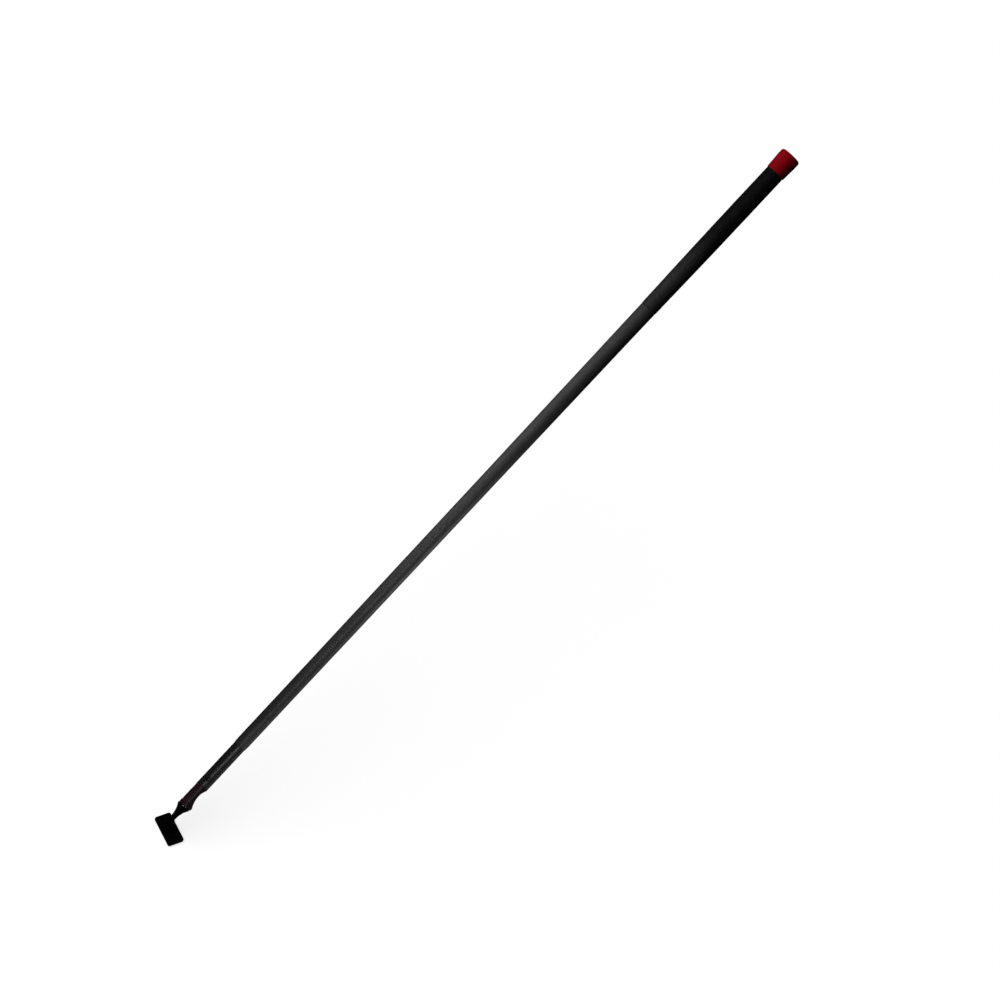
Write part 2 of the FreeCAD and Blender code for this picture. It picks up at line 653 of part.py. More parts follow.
def lever_spring():
    """A small coil between the socket and the lever; its axis runs along the stick's -X."""
    seat = -num("$spring_seat") - num("$spring_wire") - 0.03
    outward = FreeCAD.Rotation(FreeCAD.Vector(0, 1, 0), -90)
    spring = new_body("lever_spring", STICK * shift(seat, num("$spring_line"), outward))
    sk = circle(sketch(spring, "wire_section", "XZ_Plane"), "$spring_rad", "0", "$spring_wire")
    coil = spring.newObject("PartDesign::AdditiveHelix", "coil")
    coil.Profile = sk
    coil.ReferenceAxis = (sk, ["V_Axis"])
    coil.Mode = "height-turns-angle"
    coil.setExpression("Height", expr("$spring_top - $spring_seat - 2 * $spring_wire - 0.1"))
    coil.setExpression("Turns", expr("$spring_turns"))
    doc.recompute()


def release_lever():
    """The rocking lever, on the -X side of the socket."""
    lever = new_body("release_lever", STICK)
    sk = profile(lever, "lever_side", [
        ("-$lever_blank_out", "$lever_low"),
        ("-$lever_low_out", "$lever_low"),
        ("-$lever_low_out", "$nose_low"),
        ("-$nose_tip", "$nose_low"),
        ("-$nose_tip", "$nose_top"),
        ("-$lever_low_out", "$nose_top"),
        ("-$lever_pin_out", "$pin_line - 2.5"),
        ("-$lever_pin_out", "$pin_line + 2.5"),
        ("-$lever_top_out", "$pin_line + 3.5"),
        ("-$lever_top_out", "$lever_top"),
        ("-$lever_blank_out", "$lever_top"),
    ])
    extrude(lever, sk, "2 * $lever_half", both=True)
    # round the outer face about the stick's axis
    cut_round(lever, "lever_trim", [
        ("$lever_rad", "$lever_low - 2"),
        ("$lever_rad + 5", "$lever_low - 2"),
        ("$lever_rad + 5", "$lever_top + 2"),
        ("$lever_rad", "$lever_top + 2"),
    ])
    drill_across(lever, "lever_pin_hole", "-$pin_out", "$pin_line", "$pin_rad + $run_clear")
    # four cross grooves under the thumb
    groove = cut_across(lever, profile(lever, "groove", [
        ("-$lever_rad - 1", "$groove_first"),
        ("-$lever_rad + $groove_deep", "$groove_first"),
        ("-$lever_rad + $groove_deep", "$groove_first + $groove_wide"),
        ("-$lever_rad - 1", "$groove_first + $groove_wide"),
    ]))
    rows = lever.newObject("PartDesign::LinearPattern", "grooves")
    rows.Originals = [groove]
    rows.Direction = datum(lever, "Z_Axis")
    rows.Mode = "Extent"
    rows.setExpression("Length", expr("3 * $groove_pitch"))
    rows.Occurrences = 4
    lever.Tip = rows
    doc.recompute()


# ================================================================ stick: tube and its covers
# outside radius and height of the tube below the grip
STATIONS = [("$tube_rad_" + letter, "$station_" + letter) for letter in "abcdefg"]


def tube():
    outside = [("$tube_rad_a", "$tube_low")] + STATIONS + [
        ("$tube_rad_grip", "$grip_low"), ("$tube_rad_top", "$grip_top"),
        ("$tube_rad_top", "$tube_top"),
    ]
    inside = [(rad + " - $tube_wall", height) for rad, height in reversed(outside)]
    body = turned("tube", STICK, outside + inside)
    drill_across(body, "tube_rivet_hole", "0", "$rivet_line", "$rivet_rad + $run_clear")


def tube_rivets():
    """Two blind rivets through the tube into the spigot, on its +Y and -Y sides."""
    rivets = new_body("tube_rivets", STICK)
    rivets.AllowCompound = True
    # (distance out along Y, radius about the rivet's own axis)
    sk = outline(sketch(rivets, "rivet_profile", "YZ_Plane", y="$rivet_line"), [
        ("$rivet_bulb_low", "0"),
        ("$rivet_bulb_low", "$rivet_bulb_rad - $rivet_bulb_bevel"),
        ("$rivet_bulb_low + $rivet_bulb_bevel", "$rivet_bulb_rad"),
        ("$rivet_bulb_top", "$rivet_bulb_rad"),
        ("$rivet_bulb_top", "$rivet_rad"),
        ("$tube_rad_a + $slack", "$rivet_rad"),
        ("$tube_rad_a + $slack", "$rivet_head_rad"),
        ("$tube_rad_a + 0.35 * $rivet_head_high", "$rivet_head_rad"),
        ("$tube_rad_a + 0.75 * $rivet_head_high", "0.8 * $rivet_head_rad"),
        ("$tube_rad_a + $rivet_head_high", "0.45 * $rivet_head_rad"),
        ("$tube_rad_a + $rivet_head_high", "0"),
    ])
    rivet = turn(rivets, sk, axis="H_Axis")
    pair = rivets.newObject("PartDesign::Mirrored", "rivet_pair")
    pair.Originals = [rivet]
    pair.MirrorPlane = datum(rivets, "XZ_Plane")
    rivets.Tip = pair
    doc.recompute()


def shaft_sleeve():
    outside = [
        ("$tube_rad_a + $sleeve_lip", "$sleeve_low"),
        ("$tube_rad_a + $sleeve_lip + 0.15", "$sleeve_low + 1.5"),
    ]
    covered = STATIONS + [("$tube_rad_grip", "$sleeve_top")]
    outside += [(rad + " + $sleeve_wall", height) for rad, height in covered]
    inside = [(rad + " + $slack", height) for rad, height in reversed(covered)]
    turned("shaft_sleeve", STICK, outside + inside + [("$tube_rad_a + $slack", "$sleeve_low")])


def grip():
    stations = [
        ("$grip_rad_" + letter, "$grip_station_a + %d * $grip_pitch" % i)
        for i, letter in enumerate("abcd")
    ]
    turned("grip", STICK, [
        ("$tube_rad_grip + $slack", "$grip_low"),
        ("$grip_lip_rad - $grip_bevel", "$grip_low"),
        ("$grip_lip_rad", "$grip_low + 0.8"),
        ("$grip_lip_rad + 0.12", "$grip_low + 6"),
    ] + stations + [
        ("$grip_rad_d", "$grip_top - 0.4"),
        ("$grip_rad_d - $grip_bevel", "$grip_top"),
        ("$tube_rad_top + $slack", "$grip_top"),
    ])


def end_plug():
    turned("end_plug", STICK, [
        ("$plug_room_rad", "$plug_low"),
        ("$plug_rad - $plug_bevel", "$plug_low"),
        ("$plug_rad", "$plug_low + $plug_bevel"),
        ("$plug_rad", "$plug_slot_low"),
        ("$plug_slot_rad", "$plug_slot_low"),
        ("$plug_slot_rad", "$plug_slot_top"),
        ("$plug_rad", "$plug_slot_top"),
        ("$plug_rad", "$tube_top + $slack"),
        ("$tube_rad_top", "$tube_top + $slack"),
        ("$tube_rad_top", "$plug_flange_top"),
        ("0", "$plug_flange_top"),
        ("0", "$plug_room_top"),
        ("$plug_room_rad", "$plug_room_top"),
    ])


def end_cap():
    cap = turned("end_cap", STICK, [
        ("$cap_bore", "$cap_low"),
        ("$cap_rad_low - $cap_bevel", "$cap_low"),
        ("$cap_rad_low", "$cap_low + $cap_bevel"),
        ("$cap_rad_mid", "$cap_mid"),
        ("$cap_rad_top", "$cap_shoulder"),
        ("$cap_rad_top", "$cap_top"),
        ("0", "$cap_top"),
        ("0", "$cap_floor"),
        ("$cap_bore", "$cap_floor"),
    ])
    dress(cap, "Fillet", "cap_edge_round", "$cap_edge", lies_at("$cap_top"))


# ================================================================ build
base_plate()
foot_screw()
lower_insert()
rubber_joint_lower()
safety_cord_lower()
rubber_joint_neck()
safety_cord_neck()
rubber_joint_upper()
upper_insert()
safety_cord_upper()
swivel_stud()
tubular("thrust_washer", "$washer_rad", "$washer_low", "$washer_top")
socket_body()
tubular("swivel_bush", "$bush_rad", "$mouth_face", "$bush_top")
lever_pin()
lever_spring()
o_ring("socket_o_ring", "$ring_slot_low", "$ring_slot_top",
       mean_rad="$ring_slot_rad + $ring_line", line_rad="$ring_line")
tube()
tube_rivets()
shaft_sleeve()
grip()
end_plug()
o_ring("plug_o_ring", "$plug_slot_low", "$plug_slot_top",
       mean_rad="$plug_slot_rad + $plug_ring_line + $slack", line_rad="$plug_ring_line")
end_cap()
release_lever()

# ---------------------------------------------------------------- checks and export
doc.recompute()
for obj in doc.Objects:
    assert "Invalid" not in obj.State and "Error" not in obj.State, (obj.Name, obj.State)
os.makedirs("parts", exist_ok=True)
for obj in pieces:
    shape = obj.Shape
    assert not shape.isNull() and shape.isValid() and shape.Solids, obj.Label
    shape.exportStep("parts/%s.step" % obj.Label)
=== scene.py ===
"""A long stick on a small plate, joined by a rubber neck that bends at two centres.

The plate lies at the origin with +Z up. The neck rises from it along +Z, bends at the lower
centre and carries the stick away along STICK_Z: tube, sleeve, grip and red end cap. The
release lever sits near the stick's foot, on its -STICK_X side.
"""
import bpy
import json
import math
from functools import cached_property
import numpy as np
from mathutils import Matrix, Vector


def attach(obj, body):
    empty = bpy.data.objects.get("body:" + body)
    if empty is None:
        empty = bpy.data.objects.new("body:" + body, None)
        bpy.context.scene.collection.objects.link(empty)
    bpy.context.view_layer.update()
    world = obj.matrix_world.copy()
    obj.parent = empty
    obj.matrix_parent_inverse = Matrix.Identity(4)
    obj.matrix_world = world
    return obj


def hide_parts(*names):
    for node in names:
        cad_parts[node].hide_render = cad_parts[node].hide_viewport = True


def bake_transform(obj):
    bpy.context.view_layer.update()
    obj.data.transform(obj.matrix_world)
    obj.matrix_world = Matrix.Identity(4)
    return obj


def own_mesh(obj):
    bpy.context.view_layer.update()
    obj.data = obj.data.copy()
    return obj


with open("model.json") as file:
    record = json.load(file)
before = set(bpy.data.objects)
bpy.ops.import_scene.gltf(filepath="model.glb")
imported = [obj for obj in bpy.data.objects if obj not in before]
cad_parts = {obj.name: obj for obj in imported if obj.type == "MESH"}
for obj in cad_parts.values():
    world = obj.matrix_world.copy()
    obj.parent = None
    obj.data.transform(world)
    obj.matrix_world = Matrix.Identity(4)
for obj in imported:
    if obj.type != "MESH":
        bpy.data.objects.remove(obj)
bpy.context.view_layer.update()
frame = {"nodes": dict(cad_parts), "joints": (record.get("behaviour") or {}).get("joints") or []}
scene = bpy.context.scene
nodes = frame["nodes"]
joint = {j["name"]: j for j in frame["joints"]}
MM = 0.001


# ------------------------------------------------------------------ frames, from the joints
def unit(vector):
    return vector / np.linalg.norm(vector)


LOWER_PIVOT = np.array(joint["bend_lean"]["pos_m"], float)
UPPER_PIVOT = np.array(joint["bend_cross"]["pos_m"], float)
LEAN_AXIS = unit(np.array(joint["bend_lean"]["axis"], float))
STICK_Z = unit(np.array(joint["stick_swivel"]["axis"], float))
PRESS_AXIS = np.array(joint["release_press"]["axis"], float)
STICK_Y = unit(PRESS_AXIS - STICK_Z * (PRESS_AXIS @ STICK_Z))
STICK_X = np.cross(STICK_Y, STICK_Z)
LEAN = math.acos(max(-1.0, min(1.0, STICK_Z[2])))


def stick(p):
    """Stick coordinates in mm, from the upper bending centre, to world metres."""
    p = np.asarray(p, float)
    offset = p[..., 0:1] * STICK_X + p[..., 1:2] * STICK_Y + p[..., 2:3] * STICK_Z
    return UPPER_PIVOT + offset * MM


def on_axis(z):
    return stick([0.0, 0.0, z])


# ------------------------------------------------------------------ outlines and stations
def smoothstep(t):
    t = np.clip(t, 0, 1)
    return t * t * (3 - 2 * t)


def smooth_table(points, at):
    """Monotone cubic through (x, y) points, read at the given x."""
    x, y = np.array(points, float).T
    step = np.diff(x)
    rise = np.diff(y) / step
    slope = np.zeros(len(x))
    slope[0], slope[-1] = rise[0], rise[-1]
    for i in range(1, len(x) - 1):
        if rise[i - 1] * rise[i] > 0:
            before, after = 2 * step[i] + step[i - 1], step[i] + 2 * step[i - 1]
            slope[i] = (before + after) / (before / rise[i - 1] + after / rise[i])
    at = np.asarray(at, float)
    k = np.clip(np.searchsorted(x, at) - 1, 0, len(x) - 2)
    t = np.clip((at - x[k]) / step[k], 0, 1)
    return (
        y[k] * (1 + 2 * t) * (1 - t) ** 2
        + step[k] * slope[k] * t * (1 - t) ** 2
        + y[k + 1] * t * t * (3 - 2 * t)
        + step[k] * slope[k + 1] * t * t * (t - 1)
    )


def line_table(points, at):
    """Straight lines through (x, y) points, read at the given x."""
    return np.interp(at, *zip(*points))


def stations(*spans):
    """Evenly spaced values over each (first, last, count), joined."""
    return np.concatenate([np.linspace(*span) for span in spans])


def rows(radii, zs):
    return list(zip(radii, zs))


# ------------------------------------------------------------------ mesh helpers
def angles(seg):
    return np.arange(seg) * 2 * math.pi / seg


def lathe_rings(profile, seg):
    """Rings of seg points round the local Z axis, from (radius, z) rows."""
    profile = np.asarray(profile, float)
    turn = angles(seg)
    rings = np.zeros((len(profile), seg, 3))
    rings[:, :, 0] = profile[:, 0:1] * np.cos(turn)
    rings[:, :, 1] = profile[:, 0:1] * np.sin(turn)
    rings[:, :, 2] = profile[:, 1:2]
    return rings


def band(low, high, seg):
    """Quads between the rings that start at vertices low and high."""
    return [(low + j, low + (j + 1) % seg, high + (j + 1) % seg, high + j) for j in range(seg)]


def fan(centre, start, seg, flip=False):
    """Triangles from a centre vertex to the ring that starts at vertex start."""
    if flip:
        return [(centre, start + (j + 1) % seg, start + j) for j in range(seg)]
    return [(centre, start + j, start + (j + 1) % seg) for j in range(seg)]


def rings_mesh(rings, closed=False):
    """Skin over rings of equal count that run up the axis counter-clockwise.
    closed joins the last ring to the first; otherwise a fan caps each end."""
    rings = np.asarray(rings, float)
    count, seg = rings.shape[:2]
    verts = rings.reshape(-1, 3)
    faces = []
    for i in range(count if closed else count - 1):
        faces += band(i * seg, (i + 1) % count * seg, seg)
    if not closed:
        centre = len(verts)
        faces += fan(centre, 0, seg, flip=True) + fan(centre + 1, centre - seg, seg)
        verts = np.vstack([verts, [verts[:seg].mean(0), verts[-seg:].mean(0)]])
    return verts, faces


def mesh_object(name, verts, faces, slot, sharp=50):
    """Smooth-shaded object; edges over sharp degrees stay crisp."""
    mesh = bpy.data.meshes.new(name)
    mesh.from_pydata([tuple(v) for v in np.asarray(verts, float)], [], faces)
    mesh.validate()
    mesh.update()
    ob = bpy.data.objects.new(name, mesh)
    scene.collection.objects.link(ob)
    mesh.polygons.foreach_set("use_smooth", [True] * len(mesh.polygons))
    mesh.set_sharp_from_angle(angle=math.radians(sharp))
    mesh.materials.append(materials[slot])
    return ob


def assign(ob, rides, node):
    """Parent a piece to the body that moves it, and hide the CAD piece it replaces."""
    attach(ob, rides)
    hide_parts(node)
    return ob


# ------------------------------------------------------------------ shader net
class Net:
    """Node tree of a material or world, with short calls for the nodes used here."""

    def __init__(self, owner, output="ShaderNodeOutputMaterial"):
        owner.use_nodes = True
        self.owner = owner
        self.tree = owner.node_tree
        self.tree.nodes.clear()
        self.out = self.node(output)

    @cached_property
    def coord(self):
        return self.node("ShaderNodeTexCoord").outputs["Object"]

    def node(self, kind, inputs=None, **settings):
        """New node; inputs maps a socket's name or index to a value or a socket."""
        made = self.tree.nodes.new(kind)
        for key, value in settings.items():
            setattr(made, key, value)
        for key, value in (inputs or {}).items():
            if isinstance(value, bpy.types.NodeSocket):
                self.tree.links.new(value, made.inputs[key])
            else:
                made.inputs[key].default_value = value
        return made

    def finish(self, shader):
        self.tree.links.new(shader, self.out.inputs[0])
        return self.owner

    def surface(self, tone, rough, normal, specular=0.5, metallic=0.0):
        inputs = {"Base Color": tone, "Roughness": rough, "Normal": normal,
                  "Specular IOR Level": specular, "Metallic": metallic}
        return self.finish(self.node("ShaderNodeBsdfPrincipled", inputs).outputs[0])

    def mix_shaders(self, factor, first, second):
        return self.node("ShaderNodeMixShader", {0: factor, 1: first, 2: second}).outputs[0]

    def maths(self, op, first, second=0.0, clamp=False):
        inputs = {0: first, 1: second}
        return self.node("ShaderNodeMath", inputs, operation=op, use_clamp=clamp).outputs[0]

    def times(self, value, by):
        return self.maths("MULTIPLY", value, by)

    def scale_add(self, value, by, plus, clamp=True):
        return self.maths("ADD", self.times(value, by), plus, clamp)

    def vec(self, op, first, second=None):
        inputs = {0: first} if second is None else {0: first, 1: second}
        made = self.node("ShaderNodeVectorMath", inputs, operation=op)
        return made.outputs["Value" if op in ("DOT_PRODUCT", "LENGTH") else "Vector"]

    def along(self, *axes):
        """Metres from the upper bending centre along each axis."""
        offset = self.vec("SUBTRACT", self.coord, tuple(UPPER_PIVOT))
        return [self.vec("DOT_PRODUCT", offset, tuple(axis)) for axis in axes]

    def stretched(self, x, y, z, z_scale):
        """Coordinates that draw a texture out along the stick."""
        inputs = {0: x, 1: y, 2: self.times(z, z_scale)}
        return self.node("ShaderNodeCombineXYZ", inputs).outputs[0]

    def noise(self, scale, detail=3.0, rough=0.6, vector=None):
        inputs = {"Vector": vector or self.coord, "Scale": scale, "Detail": detail,
                  "Roughness": rough}
        return self.node("ShaderNodeTexNoise", inputs).outputs["Fac"]

    def cells(self, scale, vector=None):
        inputs = {"Vector": vector or self.coord, "Scale": scale}
        return self.node("ShaderNodeTexVoronoi", inputs).outputs["Distance"]

    def span(self, value, low, high, to_low=0.0, to_high=1.0):
        """Smooth step from to_low at low to to_high at high."""
        inputs = {0: value, 1: low, 2: high, 3: to_low, 4: to_high}
        made = self.node("ShaderNodeMapRange", inputs, interpolation_type="SMOOTHSTEP")
        return made.outputs[0]

    def mix(self, factor, first, second):
        inputs = {0: factor, 6: first, 7: second}
        return self.node("ShaderNodeMix", inputs, data_type="RGBA").outputs[2]

    def tint(self, tone, mask, colour, amount):
        return self.mix(self.times(mask, by=amount), tone, colour)

    def bump(self, height, strength, distance):
        inputs = {"Height": height, "Strength": strength, "Distance": distance}
        return self.node("ShaderNodeBump", inputs).outputs[0]

    def edges(self, radius):
        """1 on convex and concave edges within radius, 0 on flat faces."""
        bevel = self.node("ShaderNodeBevel", {"Radius": radius}, samples=6)
        face = self.node("ShaderNodeNewGeometry")
        dot = self.vec("DOT_PRODUCT", bevel.outputs[0], face.outputs["Normal"])
        return self.span(self.maths("SUBTRACT", 1.0, dot), low=0.03, high=0.22)


def grey(value, warm=0.0):
    return (value * (1 + warm), value, value * (1 - warm), 1)


def scaled(colour, by):
    return tuple(min(1, c * by) for c in colour[:3]) + (1,)


# ------------------------------------------------------------------ materials, in metres
def moulded(name, base, worn, rough=0.5, grain=3200.0, grain_depth=0.00002, edge=0.00025,
            specular=0.35, wear=0.5):
    """Moulded plastic or rubber: spark grain, slow tone drift, rubbed edges, handling marks."""
    m = Net(bpy.data.materials.new(name))
    slow = m.noise(scale=60.0, detail=4.0)
    fine = m.noise(scale=grain, detail=2.0, rough=0.5)
    pits = m.cells(scale=grain * 0.6)
    tone = m.mix(m.span(slow, low=0.35, high=0.7), base, scaled(base, by=1.35))
    patches = m.noise(scale=900.0, detail=4.0, rough=0.65)
    rub = m.times(m.edges(edge), m.span(patches, low=0.38, high=0.68, to_low=0.15))
    tone = m.tint(tone, rub, worn, amount=wear)
    marks = m.span(m.noise(scale=220.0, detail=6.0, rough=0.7), low=0.45, high=0.75)
    roughness = m.scale_add(marks, by=-0.08, plus=rough, clamp=False)
    roughness = m.maths("ADD", roughness, m.times(fine, by=0.06), clamp=True)
    height = m.scale_add(fine, by=0.7, plus=m.times(pits, by=0.5), clamp=False)
    normal = m.bump(height, strength=0.55, distance=grain_depth)
    return m.surface(tone, roughness, normal, specular=specular)


def metal(name, base, rough):
    """Metal with a fine uneven gloss and slow darker drift."""
    streak = 0.12   # roughness range of the fine noise
    m = Net(bpy.data.materials.new(name))
    fine = m.noise(scale=2600.0)
    slow = m.noise(scale=45.0, detail=5.0)
    tone = m.mix(m.span(slow, low=0.3, high=0.75), base, scaled(base, by=0.7))
    roughness = m.scale_add(fine, by=streak, plus=rough - streak / 2)
    roughness = m.maths("ADD", roughness, m.times(slow, by=0.08), clamp=True)
    normal = m.bump(fine, strength=0.3, distance=0.000004)
    return m.surface(tone, roughness, normal, metallic=1.0)


def cord_material():
    """Pale braid: two opposed spirals multiplied."""
    m = Net(bpy.data.materials.new("braided_cord"))
    x, y, z = m.along(STICK_X, STICK_Y, STICK_Z)
    angle = m.maths("ARCTAN2", y, x)
    spirals = [
        m.maths("SINE", m.maths(op, m.times(angle, by=6.0), m.times(z, by=4200.0)))
        for op in ("ADD", "SUBTRACT")
    ]
    braid = m.times(spirals[0], spirals[1])
    tone = m.mix(m.span(braid, low=-0.4, high=0.6), grey(0.25, warm=0.04), grey(0.5, warm=0.02))
    return m.surface(tone, 0.8, m.bump(braid, strength=0.6, distance=0.0001))


def tube_material():
    """Black anodised aluminium: draw lines, satin, small nicks that show bare metal."""
    m = Net(bpy.data.materials.new("anodised_tube"))
    x, y, z = m.along(STICK_X, STICK_Y, STICK_Z)
    lines = m.noise(scale=3000.0, vector=m.stretched(x, y, z, z_scale=0.015))
    slow = m.noise(scale=40.0, detail=5.0)
    tone = m.mix(m.span(slow, low=0.35, high=0.7), grey(0.0075), grey(0.0105, warm=0.02))
    tone = m.tint(tone, lines, grey(0.018), amount=0.35)
    nick = m.span(m.noise(scale=420.0, detail=8.0, rough=0.75), low=0.70, high=0.74)
    tone = m.tint(tone, nick, grey(0.12), amount=0.35)
    roughness = m.scale_add(lines, by=0.14, plus=0.32)
    normal = m.bump(lines, strength=0.35, distance=0.000006)
    return m.surface(tone, roughness, normal, specular=0.42)


def sleeve_material():
    """Satin charcoal skin with grain along the stick; painted light makes it paler upwards, and
    by the grip a painted shade darkens it and it turns duller.
    """
    m = Net(bpy.data.materials.new("sleeve_skin"))
    x, y, z = m.along(STICK_X, STICK_Y, STICK_Z)
    vector = m.stretched(x, y, z, z_scale=0.25)
    grain = m.noise(scale=2600.0, vector=vector)
    pores = m.cells(scale=1500.0, vector=vector)
    slow = m.noise(scale=26.0, detail=5.0)
    # painted light: the tone gets lighter going up the stick, standing in for how the light
    # falls along it
    painted_light_up = m.span(z, low=0.10, high=0.60)
    dark = m.mix(painted_light_up, grey(0.017), grey(0.046))
    light = m.mix(painted_light_up, grey(0.024), grey(0.062, warm=0.01))
    tone = m.mix(m.span(slow, low=0.3, high=0.75), dark, light)
    speck = m.mix(painted_light_up, grey(0.030), grey(0.075, warm=0.01))
    tone = m.tint(tone, m.span(grain, low=0.35, high=0.7), speck, amount=0.35)
    # painted shade: the sleeve is coloured darker over its last stretch below the grip
    tone = m.tint(tone, m.span(z, low=0.78, high=0.875), grey(0.03), amount=0.5)
    patches = m.noise(scale=150.0, detail=7.0, rough=0.72, vector=vector)
    tone = m.tint(tone, m.span(patches, low=0.58, high=0.72), grey(0.055), amount=0.25)
    dull = m.span(z, low=0.70, high=0.866, to_low=0.44, to_high=0.52)
    roughness = m.scale_add(grain, by=0.12, plus=dull)
    height = m.maths("ADD", grain, m.times(pores, by=0.6))
    normal = m.bump(height, strength=0.5, distance=0.00003)
    return m.surface(tone, roughness, normal, specular=0.36)


def grip_material():
    """Near-black matt rubber with a pebbled texture, greyer at its lower end by painted light
    that fades out up the grip.
    """
    m = Net(bpy.data.materials.new("grip_skin"))
    (z,) = m.along(STICK_Z)
    grain = m.noise(scale=3000.0)
    pebble = m.cells(scale=900.0)
    slow = m.noise(scale=38.0, detail=5.0)
    # painted light: the grip is coloured greyer at its lower end, fading to near black upwards
    painted_fade = m.span(z, low=0.90, high=1.01)
    dark = m.mix(painted_fade, grey(0.016), grey(0.0035))
    light = m.mix(painted_fade, grey(0.022), grey(0.006))
    tone = m.mix(m.span(slow, low=0.3, high=0.75), dark, light)
    high_point = m.mix(painted_fade, grey(0.030), grey(0.009))
    tone = m.tint(tone, m.span(pebble, low=0.45, high=0.15), high_point, amount=0.35)
    roughness = m.scale_add(grain, by=0.15, plus=0.60)
    height = m.scale_add(grain, by=0.6, plus=pebble, clamp=False)
    specular = m.span(z, low=0.90, high=1.01, to_low=0.30, to_high=0.10)
    normal = m.bump(height, strength=0.5, distance=0.00005)
    return m.surface(tone, roughness, normal, specular=specular)


def cap_material():
    """Deep red moulding: colour drift, spark grain, scuffs on the far end."""
    m = Net(bpy.data.materials.new("cap_red"))
    (z,) = m.along(STICK_Z)
    slow = m.noise(scale=70.0, detail=5.0)
    fine = m.noise(scale=2600.0, detail=2.0, rough=0.5)
    deep, bright = (0.235, 0.0018, 0.0050, 1), (0.290, 0.0024, 0.0075, 1)
    tone = m.mix(m.span(slow, low=0.3, high=0.75), deep, bright)
    end = m.span(z, low=1.118, high=1.1275)
    scuff = m.span(m.noise(scale=620.0, detail=7.0, rough=0.75), low=0.50, high=0.70)
    tone = m.tint(tone, m.times(scuff, end), (0.34, 0.07, 0.07, 1), amount=0.25)
    tone = m.tint(tone, m.edges(radius=0.0005), (0.36, 0.03, 0.035, 1), amount=0.15)
    roughness = m.scale_add(fine, by=0.08, plus=m.times(scuff, by=0.10))
    roughness = m.maths("ADD", roughness, 0.44, clamp=True)
    normal = m.bump(fine, strength=0.5, distance=0.00003)
    return m.surface(tone, roughness, normal, specular=0.018)


# keyed by slot name; pin_metal is the lever pin's own
materials = {
    "plate": moulded(
        "plate_nylon", base=grey(0.0018), worn=grey(0.016), rough=0.60, specular=0.08,
        edge=0.0004, grain=2600.0, grain_depth=0.00003),
    "joint_rubber": moulded(
        "joint_rubber", base=grey(0.0011), worn=grey(0.006), rough=0.72, specular=0.045,
        edge=0.0003, grain=4200.0, wear=0.35),
    "socket_plastic": moulded(
        "socket_nylon", base=(0.0185, 0.0064, 0.0098, 1), worn=(0.055, 0.034, 0.039, 1),
        rough=0.42, specular=0.28, edge=0.00035),
    "lever_plastic": moulded(
        "lever_nylon", base=(0.115, 0.0055, 0.020, 1), worn=(0.20, 0.05, 0.07, 1),
        rough=0.40, specular=0.3, edge=0.0003),
    "bearing_plastic": moulded(
        "bearing_acetal", base=grey(0.014, warm=0.03), worn=grey(0.020, warm=0.05),
        specular=0.12),
    "plug_plastic": moulded("plug_nylon", base=grey(0.01), worn=grey(0.04), specular=0.3),
    "seal_rubber": moulded(
        "seal_rubber", base=grey(0.004), worn=grey(0.01), specular=0.25, grain=5200.0),
    "steel": metal("stainless_steel", base=grey(0.55, warm=0.01), rough=0.3),
    "rivet_metal": metal("rivet_black", base=grey(0.03), rough=0.4),
    "pin_metal": metal("pin_dark_oxide", base=grey(0.02), rough=0.45),
    "cord": cord_material(),
    "tube_metal": tube_material(),
    "sleeve_rubber": sleeve_material(),
    "grip_rubber": grip_material(),
    "cap_plastic": cap_material(),
}
for ob in nodes.values():
    for slot in ob.material_slots:
        slot.material = materials[slot.material.name.split(".")[0]]
nodes["lever_pin"].material_slots[0].material = materials["pin_metal"]

# ------------------------------------------------------------------ rubber joint, in mm
NECK_SEG = 144
HALF_BEND = 3.0      # each side of a bending centre over which the neck turns
PARTING_RISE = 0.11  # height of the mould's parting line
PARTING_WIDTH = 0.03  # radians
# (z above the floor, radius), before the neck leans
LOWER_NECK = [
    (4.02, 8.05), (4.25, 8.42), (4.7, 8.55), (5.15, 8.42), (5.5, 8.1), (6.4, 7.86),
    (8.0, 7.72), (9.5, 7.45), (10.5, 7.0), (12.0, 6.4), (13.5, 5.9), (15.5, 5.4),
    (17.5, 5.0), (19.5, 4.7), (21.5, 4.42), (23.5, 4.2), (26.0, 3.98), (28.0, 3.8),
    (29.5, 3.7), (32.5, 3.62),
]
# (z from the upper bending centre, radius)
UPPER_NECK = [
    (-3.0, 3.62), (0.0, 3.7), (1.1, 3.8), (3.6, 4.28), (6.1, 4.9), (8.6, 5.62),
    (11.1, 6.75), (13.0, 7.9), (14.2, 8.6), (14.9, 8.88), (15.5, 8.92), (15.85, 8.75),
    (15.98, 8.35),
]


def neck_rings(table, zs):
    """Rings with a fine parting line down two sides, as a two-part mould leaves."""
    radii = smooth_table(table, zs)
    rings = lathe_rings(rows(radii, zs), NECK_SEG)
    turn = angles(NECK_SEG)
    off_line = np.minimum(abs(turn - math.pi), np.minimum(turn, 2 * math.pi - turn))
    line = np.exp(-(off_line / PARTING_WIDTH) ** 2)
    rings[:, :, :2] *= (1 + (PARTING_RISE * line)[None, :] / radii[:, None])[:, :, None]
    return rings


def lean_over(verts, weights):
    """Turn each point about the lower bending centre by its share of the lean."""
    arm = verts * MM - LOWER_PIVOT
    cos, sin = np.cos(weights * LEAN)[:, None], np.sin(weights * LEAN)[:, None]
    axial = LEAN_AXIS * (arm @ LEAN_AXIS)[:, None]
    return LOWER_PIVOT + arm * cos + np.cross(LEAN_AXIS, arm) * sin + axial * (1 - cos)


def neck_skin(name, table, zs, bend_z, place, replaced):
    """One half of the neck; place sets it in the world, given a share of the lean that rises
    from 0 to 1 across bend_z.
    """
    verts, faces = rings_mesh(neck_rings(table, zs))
    weights = smoothstep((verts[:, 2] - (bend_z - HALF_BEND)) / (2 * HALF_BEND))
    ob = mesh_object(name, place(verts, weights), faces, "joint_rubber")
    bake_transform(ob)
    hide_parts(*replaced)


